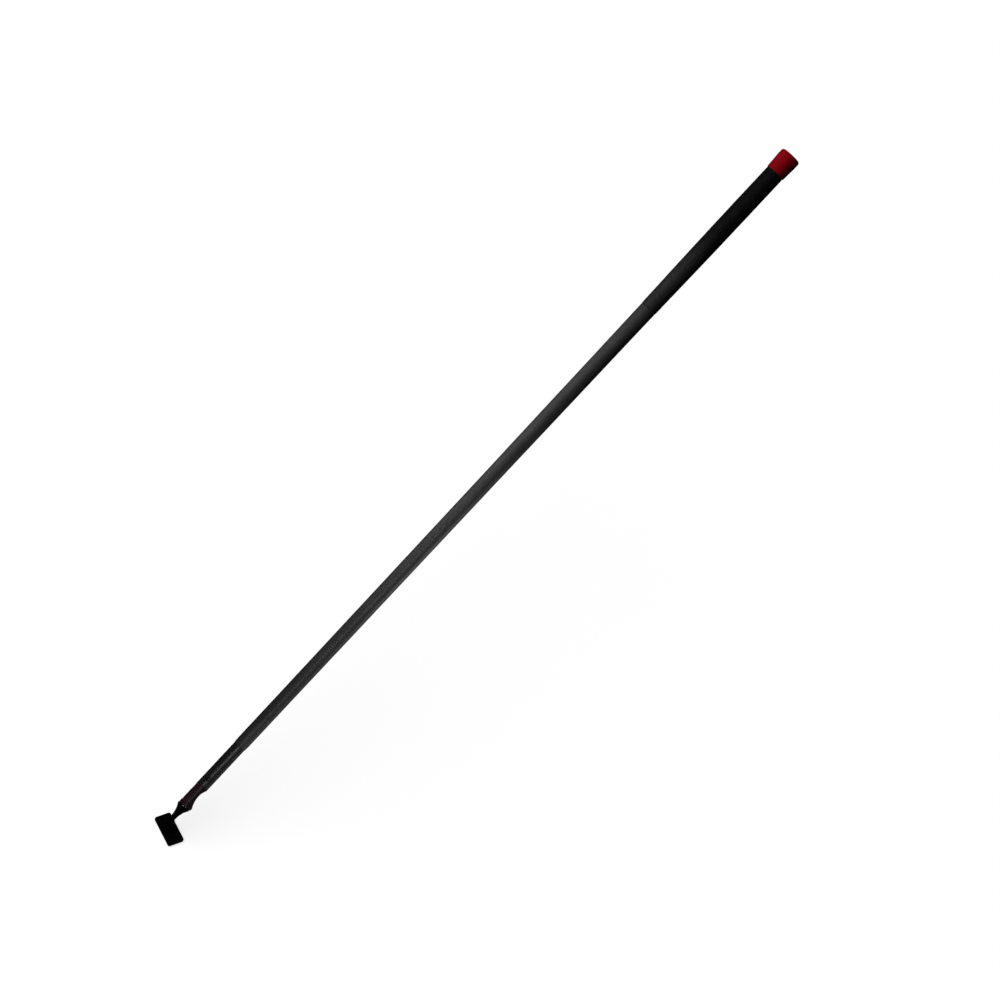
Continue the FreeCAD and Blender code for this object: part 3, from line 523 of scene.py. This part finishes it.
lower_bend_z = LOWER_PIVOT[2] / MM
neck_skin(
    "joint_skin_lower", LOWER_NECK,
    stations((4.02, 6.0, 15), (6.3, 25.0, 48), (25.5, lower_bend_z + HALF_BEND, 43)),
    lower_bend_z, lean_over,
    ("rubber_joint_lower", "rubber_joint_neck"),
)
neck_skin(
    "joint_skin_upper", UPPER_NECK,
    stations((-HALF_BEND, 3.5, 40), (3.9, 14.0, 34), (14.2, 15.98, 16)),
    0.0, lambda verts, weights: stick(verts),
    ("rubber_joint_upper",),
)

# ------------------------------------------------------------------ turned pieces, in mm
TUBE_WALL = 1.3
SLEEVE_WALL = 0.66
BORE_GAP = 0.02      # between the tube and what is slid over it
SLEEVE_FOOT, SLEEVE_TOP = 118.0, 866.3
# outlines: (z up the stick, outer radius)
TUBE = [
    (50.1, 8.25), (128.0, 8.25), (188.6, 8.3), (313.6, 8.6), (438.6, 8.85), (563.6, 9.15),
    (688.6, 9.65), (813.6, 10.05), (866.5, 10.25), (1098.5, 10.9), (1124.0, 10.9),
]
SLEEVE = (
    [(118.3, 8.5), (119.5, 8.65), (123.5, 8.8)]
    + [(z, radius + SLEEVE_WALL) for z, radius in TUBE[1:8]]
    + [(866.15, 10.91)]
)
GRIP = [
    (867.3, 11.15), (872.5, 11.27), (888.6, 11.45), (938.6, 11.95), (988.6, 12.3),
    (1038.6, 12.45), (1098.1, 12.45),
]


def hollow(name, outer, inner, slot, node, seg, relief=0.0):
    """Hollow turned piece from outer and inner (radius, z) rows running up the stick.
    relief raises the outer skin, in mm, on a (row, angle) grid."""
    rings = lathe_rings(outer + inner[::-1], seg)
    skin = rings[:len(outer), :, :2]
    skin *= (1 + relief / np.linalg.norm(skin, axis=2))[:, :, None]
    verts, faces = rings_mesh(rings, closed=True)
    return assign(mesh_object(name, stick(verts), faces, slot), "stick", node)


def waves(zs, seg, seed, sizes, amp):
    """Slow unevenness of a hand-laid or moulded skin, in mm, on a (z, angle) grid."""
    rng = np.random.default_rng(seed)
    turn = angles(seg)[None, :]
    height = zs[:, None]
    total = np.zeros((len(zs), seg))
    for size in sizes:
        for _ in range(5):
            lobes = rng.integers(0, 4)
            around = np.sin(lobes * turn + rng.uniform(0, 6.28))
            total += around * np.sin(
                height / size * rng.uniform(0.7, 1.4) + rng.uniform(0, 6.28))
    return total * amp / (5 * len(sizes)) ** 0.5


def fade(zs, low, high, over):
    """0 at both ends of a piece, 1 inside."""
    return (smoothstep((zs - low) / over) * smoothstep((high - zs) / over))[:, None]


def heights(profile):
    return np.array([z for _, z in profile])


def lining(zs):
    """Bore rows that clear the tube."""
    return rows(line_table(TUBE, zs) + BORE_GAP, zs)


def tube_skin():
    foot, top = TUBE[0][0], TUBE[-1][0]
    zs = stations((50.4, 120.0, 30), (128.0, 1123.6, 120))
    outer = (
        [(8.05, foot), (8.16, 50.15), (8.23, 50.25)]
        + rows(line_table(TUBE, zs), zs)
        + [(10.85, 1123.8), (10.75, 1123.95), (10.6, top)]
    )
    zs = [foot, *np.linspace(50.3, 1123.8, 40), top]
    inner = rows(line_table(TUBE, zs) - TUBE_WALL, zs)
    return hollow("tube_skin", outer, inner, "tube_metal", "tube", seg=144)


def sleeve_skin():
    seg = 160
    zs = stations((118.3, 128.0, 16), (130.0, 866.15, 300))
    outer = (
        [(8.3, SLEEVE_FOOT), (8.38, 118.03), (8.46, 118.12)]
        + rows(smooth_table(SLEEVE, zs), zs)
        + [(10.86, 866.26), (10.76, SLEEVE_TOP)]
    )
    inner = lining([SLEEVE_FOOT, *np.linspace(118.5, 866.0, 60)]) + [(10.27, SLEEVE_TOP)]
    zs = heights(outer)
    relief = waves(zs, seg, seed=11, sizes=(9.0, 31.0), amp=0.03)
    relief = relief * fade(zs, SLEEVE_FOOT, SLEEVE_TOP, over=6.0)
    return hollow("sleeve_skin", outer, inner, "sleeve_rubber", "shaft_sleeve", seg, relief)


def pebbles(z, seg):
    """Low rounded grains of the grip's skin, on a jittered lattice round the stick."""
    pitch = 1.4          # between rows of grains, up the stick
    around = 54          # grains in a row
    grain_radius = 0.62  # in lattice cells
    grain_height = 0.085
    sunk = 0.55          # share of a grain's height below the nominal skin
    rng = np.random.default_rng(7)
    count = int((z.max() - z.min()) / pitch) + 6
    shift_u = rng.uniform(-0.34, 0.34, (count, around))
    shift_v = rng.uniform(-0.34, 0.34, (count, around))
    size = rng.uniform(0.75, 1.25, (count, around))
    u = (np.arange(seg) * around / seg)[None, :] + np.zeros((len(z), 1))
    v = ((z - z.min()) / pitch + 2.5)[:, None] + np.zeros((1, seg))
    cell_u, cell_v = np.floor(u).astype(int), np.floor(v).astype(int)
    nearest = np.full(u.shape, 9.0)
    for dv in (-1, 0, 1):
        for du in (-1, 0, 1):
            i = np.clip(cell_v + dv, 0, count - 1)
            j = (cell_u + du) % around
            grain_u = cell_u + du + 0.5 + shift_u[i, j]
            grain_v = cell_v + dv + 0.5 + shift_v[i, j]
            nearest = np.minimum(nearest, np.hypot(u - grain_u, v - grain_v) / size[i, j])
    dome = np.sqrt(np.clip(1 - (nearest / grain_radius) ** 2, 0, 1))
    relief = (dome - sunk) * grain_height
    relief = relief + waves(z, seg, seed=23, sizes=(7.0, 25.0), amp=0.035)
    return relief * fade(z, z.min() + 1.2, z.max() - 1.0, over=2.5)


def grip_skin():
    seg = 208
    foot, top = 866.5, 1098.5
    zs = np.linspace(867.3, 1098.1, 480)
    outer = (
        [(10.6, foot), (10.85, 866.55), (11.03, 866.75), (11.11, 867.0)]
        + rows(smooth_table(GRIP, zs), zs)
        + [(12.40, 1098.3), (12.28, 1098.45), (12.1, top)]
    )
    inner = lining([foot, *np.linspace(867.0, 1098.0, 50), top])
    relief = pebbles(heights(outer), seg)
    return hollow("grip_skin", outer, inner, "grip_rubber", "grip", seg, relief)


tube = tube_skin()
sleeve = sleeve_skin()
grip = grip_skin()

# ------------------------------------------------------------------ end cap, in mm
CAP_SEG = 176
CAP_ROUND = 3.5
CAP_FOOT = 1098.6
CAP_ROOF = 1126.1    # underside of the closed end
CAP = [(1099.0, 13.3), (1113.6, 13.9), (1119.6, 14.2), (1125.1, 14.2)]  # (z, radius)


def cap_skin():
    shoulder, radius = CAP[-1]
    top = shoulder + CAP_ROUND
    zs = np.linspace(1099.0, shoulder, 44)
    outer = [(12.7, CAP_FOOT), (12.95, 1098.62), (13.15, 1098.72), (13.26, 1098.85)]
    outer += rows(smooth_table(CAP, zs), zs)
    outer += [
        (radius - CAP_ROUND + CAP_ROUND * math.cos(t), shoulder + CAP_ROUND * math.sin(t))
        for t in np.linspace(0, math.pi / 2, 17)[1:]
    ]
    outer += [(r, top) for r in np.linspace(10.2, 0.8, 20)]
    inner = [(r, CAP_ROOF) for r in (0.8, 4.0, 8.0, 10.9)]
    inner += [(10.95, z) for z in np.linspace(1126.0, 1099.0, 14)] + [(11.0, CAP_FOOT)]
    rings = lathe_rings(outer + inner, CAP_SEG)
    skin = rings[:len(outer)]
    # the end is dished a little round the gate mark, as moulded caps are
    reach = np.linalg.norm(skin[:, :, :2], axis=2)
    dish = 0.3 * smoothstep((9.0 - reach) / 3.0) - 0.22 * smoothstep((1.9 - reach) / 0.5)
    skin[:, :, 2] -= np.where(skin[:, :, 2] > top - 0.01, dish, 0.0)
    zs = skin[:, 0, 2]
    unrest = waves(zs, CAP_SEG, seed=31, sizes=(6.0, 15.0), amp=0.03)
    unrest = unrest * fade(zs, CAP_FOOT, 1127.5, over=4.0)
    skin[:, :, :2] *= (1 + unrest / 13.5)[:, :, None]

    verts = rings.reshape(-1, 3)
    last_outer, count = len(outer) - 1, len(rings)
    faces = []
    for i in range(count):
        if i != last_outer:
            faces += band(i * CAP_SEG, (i + 1) % count * CAP_SEG, CAP_SEG)
    centre = len(verts)
    faces += fan(centre, last_outer * CAP_SEG, CAP_SEG)
    faces += fan(centre + 1, (last_outer + 1) * CAP_SEG, CAP_SEG, flip=True)
    verts = np.vstack([verts, [rings[last_outer].mean(0), rings[last_outer + 1].mean(0)]])
    ob = mesh_object("cap_skin", stick(verts), faces, "cap_plastic")
    return assign(ob, "stick", "end_cap")


cap = cap_skin()

# ------------------------------------------------------------------ release lever, in mm
LEVER_RIM = 0.38     # radius of the rounded rim
LEVER_HALF = 3.5     # half its width
LEVER_LOW, LEVER_HIGH = 22.5, 46.5
LEVER_RADIUS = 8.12  # of the outer face, about the stick's axis
GROOVE_FLOOR = 7.67  # distance of the flat groove floors from the axis
GROOVE_FIRST, GROOVE_PITCH, GROOVE_WIDTH = 38.6, 1.9, 0.98
RIB_LOW, RIB_HIGH, RIB_REACH = 24.6, 27.0, 2.4
# side facing the stick: (z, distance from the axis), with the rib's steps
LEVER_BACK = [
    (LEVER_LOW, 5.4), (24.59, 5.4), (RIB_LOW, RIB_REACH), (RIB_HIGH, RIB_REACH),
    (27.01, 5.4), (30.5, 5.0), (35.5, 5.0), (36.5, 5.6), (LEVER_HIGH, 5.6),
]


def rim_drop(inset):
    """How far the face falls at a distance in from the lever's edge."""
    inward = LEVER_RIM - np.minimum(inset, LEVER_RIM)
    return LEVER_RIM - np.sqrt(np.clip(LEVER_RIM ** 2 - inward ** 2, 0, None))


def groove(z):
    """1 inside a cross groove, 0 on the lands, with small rounds."""
    depth = 0.0
    for k in range(4):
        low = GROOVE_FIRST + GROOVE_PITCH * k
        sides = smoothstep((z - low + 0.08) / 0.2) * smoothstep((low + GROOVE_WIDTH - z) / 0.2)
        depth = max(depth, float(sides))
    return depth


def lever_skin():
    rim = LEVER_RIM * (1 - np.cos(np.linspace(0, math.pi / 2, 7)))
    edge = LEVER_HALF - rim[:-1]
    flat = np.linspace(LEVER_HALF - LEVER_RIM, -LEVER_HALF + LEVER_RIM, 34)
    across = np.concatenate([edge, flat, -edge[::-1]])
    zs = np.concatenate([
        LEVER_LOW + rim, stations((22.9, 38.4, 60), (38.4, 45.6, 150)), LEVER_HIGH - rim,
    ])
    sections = {(z, float(line_table(LEVER_BACK, z))) for z in np.round(zs, 4)}
    sections |= {(z, x) for z in (RIB_LOW, RIB_HIGH) for x in (5.4, RIB_REACH)}
    # at the rib's two steps the section first drops to the rib, then returns
    order = sorted(sections, key=lambda s: (s[0], -s[1] if s[0] < 25.5 else s[1]))
    back = np.linspace(-LEVER_HALF, LEVER_HALF, 12)
    rings = []
    for z, back_x in order:
        face = np.sqrt(LEVER_RADIUS ** 2 - across ** 2)
        face = face - groove(z) * np.clip(face - GROOVE_FLOOR, 0, None)
        from_end = min(z - LEVER_LOW, LEVER_HIGH - z)
        face = face - rim_drop(np.minimum(LEVER_HALF - np.abs(across), from_end))
        outer_side = np.stack([-face, across, np.full_like(across, z)], 1)
        inner_side = np.stack([np.full_like(back, -back_x), back, np.full_like(back, z)], 1)
        rings.append(np.vstack([outer_side, inner_side]))
    verts, faces = rings_mesh(rings)
    ob = mesh_object("lever_skin", stick(verts), faces, "lever_plastic", sharp=42)
    assign(ob, "release", "release_lever")


def lever_coil():
    """The lever's spring, copied in steel and carried on the stick."""
    coil = bpy.data.objects.new("lever_coil", nodes["lever_spring"].data.copy())
    scene.collection.objects.link(coil)
    coil.data.materials.clear()
    coil.data.materials.append(materials["steel"])
    assign(coil, "stick", "lever_spring")
    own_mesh(coil)


lever_skin()
lever_coil()

# ------------------------------------------------------------------ camera, in metres
SPAN = 1.25          # across the frame at the stick
LENS, SENSOR = 200.0, 36.0   # mm
ROLL = 0.0006        # radians, the camera leans this much to its right
AIM_RIGHT, AIM_UP = 0.40605, 0.3939875   # of the frame's middle from the upper bending centre
VIEW_RIGHT = np.array([0.442, 0.8805, 0.172])
VIEW_BACK = unit(np.cross(VIEW_RIGHT, np.array([-0.795, 0.2956, 0.529])))
VIEW_UP = unit(np.cross(VIEW_BACK, VIEW_RIGHT))
VIEW_RIGHT = np.cross(VIEW_UP, VIEW_BACK)
VIEW_RIGHT, VIEW_UP = (
    VIEW_RIGHT * math.cos(ROLL) - VIEW_UP * math.sin(ROLL),
    VIEW_UP * math.cos(ROLL) + VIEW_RIGHT * math.sin(ROLL),
)


def add_camera():
    centre = UPPER_PIVOT + VIEW_RIGHT * AIM_RIGHT + VIEW_UP * AIM_UP
    # SPAN holds at the depth of the stick's middle
    centre = centre + VIEW_BACK * float((on_axis(560.0) - centre) @ VIEW_BACK)
    camera = bpy.data.objects.new("camera", bpy.data.cameras.new("camera"))
    scene.collection.objects.link(camera)
    camera.data.type = "PERSP"
    camera.data.lens = LENS
    camera.data.sensor_width = SENSOR
    camera.data.clip_start, camera.data.clip_end = 0.1, 60.0
    turn = Matrix((VIEW_RIGHT, VIEW_UP, VIEW_BACK)).transposed()
    at = Vector(centre + VIEW_BACK * (SPAN / SENSOR * LENS))
    camera.matrix_world = Matrix.Translation(at) @ turn.to_4x4()
    scene.camera = camera


add_camera()

# ------------------------------------------------------------------ floor and world, in metres
FLOOR_HALF, FLOOR_Z = 30, -0.0004
FLOOR_GLOW = 0.20    # what the pale floor sends into the object's reflections
WORLD_FILL = 0.008
PLATE_HALF = (0.0195, 0.009)   # half-size in x and y of the painted shade under the plate
POOL_CENTRE = (0.22, 0.26, 0.0)   # middle of the glow
POOL_SIDE = (0.89, 0.45, 0.0)     # the glow fades out against this direction


def floor_material():
    """Pale matt floor, with a painted shade, near black, under the plate. Parts see it only as a
    soft glow.
    """
    m = Net(bpy.data.materials.new("pale_floor"))
    place = m.node("ShaderNodeNewGeometry")
    m.coord = place.outputs["Position"]
    split = m.node("ShaderNodeSeparateXYZ", {0: m.coord})
    beyond = [
        m.maths("SUBTRACT", m.maths("ABSOLUTE", split.outputs[i]), PLATE_HALF[i])
        for i in range(2)
    ]
    # painted shade: the floor is coloured near black under the plate's footprint
    shade = m.span(m.maths("MAXIMUM", *beyond), low=-0.0006, high=0.0014)
    tone = m.mix(m.noise(scale=3.0, detail=4.0, rough=0.55), grey(0.785), grey(0.815))
    lit = m.node("ShaderNodeBsdfDiffuse", {"Color": m.mix(shade, grey(0.004), tone)})
    plain = m.mix(shade, grey(0.0), grey(1.0))
    soft = m.node("ShaderNodeEmission", {"Color": plain, "Strength": 1.0})
    lit_share = 0.40
    seen = m.mix_shaders(lit_share, soft.outputs[0], lit.outputs[0])

    reach = m.vec("LENGTH", m.vec("SUBTRACT", m.coord, POOL_CENTRE))
    beside = m.span(m.vec("DOT_PRODUCT", m.coord, POOL_SIDE), low=-0.06, high=0.12)
    pool = m.times(m.span(reach, low=0.66, high=0.36), beside)
    glow_tone = m.mix(m.times(pool, shade), grey(0.0), grey(1.0))
    glow = m.node("ShaderNodeEmission", {"Color": glow_tone, "Strength": FLOOR_GLOW},
                  name="glow", label="glow")

    clear = m.node("ShaderNodeBsdfTransparent")
    path = m.node("ShaderNodeLightPath")
    above = m.mix_shaders(path.outputs["Is Camera Ray"], glow.outputs[0], seen)
    # seen from below, the floor is clear
    return m.finish(m.mix_shaders(place.outputs["Backfacing"], above, clear.outputs[0]))


def add_floor():
    mesh = bpy.data.meshes.new("floor")
    corners = [(-1, -1), (1, -1), (1, 1), (-1, 1)]
    verts = [(x * FLOOR_HALF, y * FLOOR_HALF, FLOOR_Z) for x, y in corners]
    mesh.from_pydata(verts, [], [(0, 1, 2, 3)])
    ob = bpy.data.objects.new("floor", mesh)
    scene.collection.objects.link(ob)
    mesh.materials.append(floor_material())
    return ob


def add_world():
    """White to the camera, a faint fill to everything else."""
    scene.world = bpy.data.worlds.new("studio")
    w = Net(scene.world, "ShaderNodeOutputWorld")
    white = (1, 1, 1, 1)
    seen = w.node("ShaderNodeBackground", {0: white, 1: 1.0})
    fill = w.node("ShaderNodeBackground", {0: white, 1: WORLD_FILL}, name="fill")
    path = w.node("ShaderNodeLightPath")
    w.finish(w.mix_shaders(path.outputs["Is Camera Ray"], fill.outputs[0], seen.outputs[0]))


floor = add_floor()
add_world()


# ------------------------------------------------------------------ lights
def lit_group(name, *members):
    group = bpy.data.collections.new(name)
    for ob in members:
        group.objects.link(ob)
    return group


pieces = [ob for ob in scene.collection.objects if ob.type == "MESH" and ob is not floor]
on_object = lit_group("lit_by_boxes", *[ob for ob in pieces if ob != floor])
on_cap = lit_group("lit_by_cap_box", cap)
on_grip = lit_group("lit_by_grip_box", grip)
on_shaft = lit_group("lit_by_low_right", tube, sleeve)
on_floor = lit_group("lit_by_sky", floor)


def add_light(name, kind, power, only):
    ob = bpy.data.objects.new(name, bpy.data.lights.new(name, kind))
    ob.data.energy = power
    scene.collection.objects.link(ob)
    ob.light_linking.receiver_collection = only
    return ob


def area(name, at, target, along, length, width, power, only):
    """A soft box at a point, facing target, its long side along a direction."""
    ob = add_light(name, "AREA", power, only)
    ob.data.shape = "RECTANGLE"
    ob.data.size, ob.data.size_y = length, width
    back = Vector(at) - Vector(target)
    back.normalize()
    x = Vector(along) - back * Vector(along).dot(back)
    x.normalize()
    turn = Matrix((x, back.cross(x), back)).transposed()
    ob.matrix_world = Matrix.Translation(Vector(at)) @ turn.to_4x4()
    ob.visible_camera = False
    return ob


def way_round(turn):
    """Direction off the stick, turn degrees from the camera's side towards STICK_X."""
    return STICK_X * math.sin(math.radians(turn)) + VIEW_BACK * math.cos(math.radians(turn))


def sun(name, power, angle, only):
    ob = add_light(name, "SUN", power, only)
    ob.data.angle = math.radians(angle)
    return ob


def sun_round(name, turn, only):
    """A wide soft sun, matt only, that lights the stick wherever it swings."""
    ob = sun(name, power=1.0, angle=50, only=only)
    way = way_round(turn)
    axes = (Vector(STICK_Z), Vector(np.cross(way, STICK_Z)), Vector(way))
    ob.matrix_world = Matrix(axes).transposed().to_4x4()
    ob.visible_glossy = False


# Soft boxes beside the stick: name, z it faces in mm, turn in degrees, distance, length
# and width in metres, watts, spread in degrees, what it lights, whether reflections show it.
# back_fill is matt only, so that it leaves no rim on the near side.
BOXES = [
    ("front_box", 265, 4, 1.3, 0.90, 0.32, 0.60, 180, on_object, True),
    ("low_box", 90, 4, 0.5, 0.16, 0.12, 0.05, 60, on_object, True),
    ("mid_box", 370, 0, 0.55, 0.24, 0.18, 0.08, 60, on_object, True),
    ("upper_box", 850, -30, 1.0, 0.60, 0.30, 0.25, 70, on_object, True),
    ("grip_box", 985, -42, 0.8, 0.26, 0.30, 0.13, 60, on_grip, True),
    ("left_box", 660, -75, 0.8, 0.42, 0.60, 0.32, 75, on_object, True),
    ("right_box", 410, 94, 0.5, 0.26, 0.30, 0.15, 65, on_object, True),
    ("low_right", 90, 85, 0.45, 0.16, 0.20, 0.35, 50, on_shaft, False),
    ("low_left", 55, -55, 0.35, 0.09, 0.15, 0.009, 30, on_object, False),
    ("cap_box", 1126, -62, 0.6, 0.08, 0.45, 0.012, 40, on_cap, True),
    ("back_fill", 560, 180, 0.30, 1.20, 0.20, 1.6, 180, on_object, False),
]
for name, z, turn, distance, length, width, power, spread, only, glossy in BOXES:
    target = on_axis(z)
    at = target + way_round(turn) * distance
    box = area(name, at, target, STICK_Z, length, width, power, only)
    box.data.spread = math.radians(spread)
    box.visible_glossy = glossy

end_fill = area("end_fill", on_axis(1400.0), on_axis(1128.0), STICK_X,
                length=0.20, width=0.20, power=0.05, only=on_cap)
end_fill.visible_glossy = False

sun_round("key_sun", turn=-60, only=on_object)
sun_round("cap_sun", turn=-66, only=on_cap)
sky = sun("soft_sky", power=4.4, angle=75, only=on_floor)
sky.rotation_euler = (math.radians(18), math.radians(-14), 0)

# ------------------------------------------------------------------ colour
scene.view_settings.view_transform = "Standard"
scene.view_settings.look = "None"
scene.view_settings.exposure = 0.0
scene.view_settings.gamma = 1.0
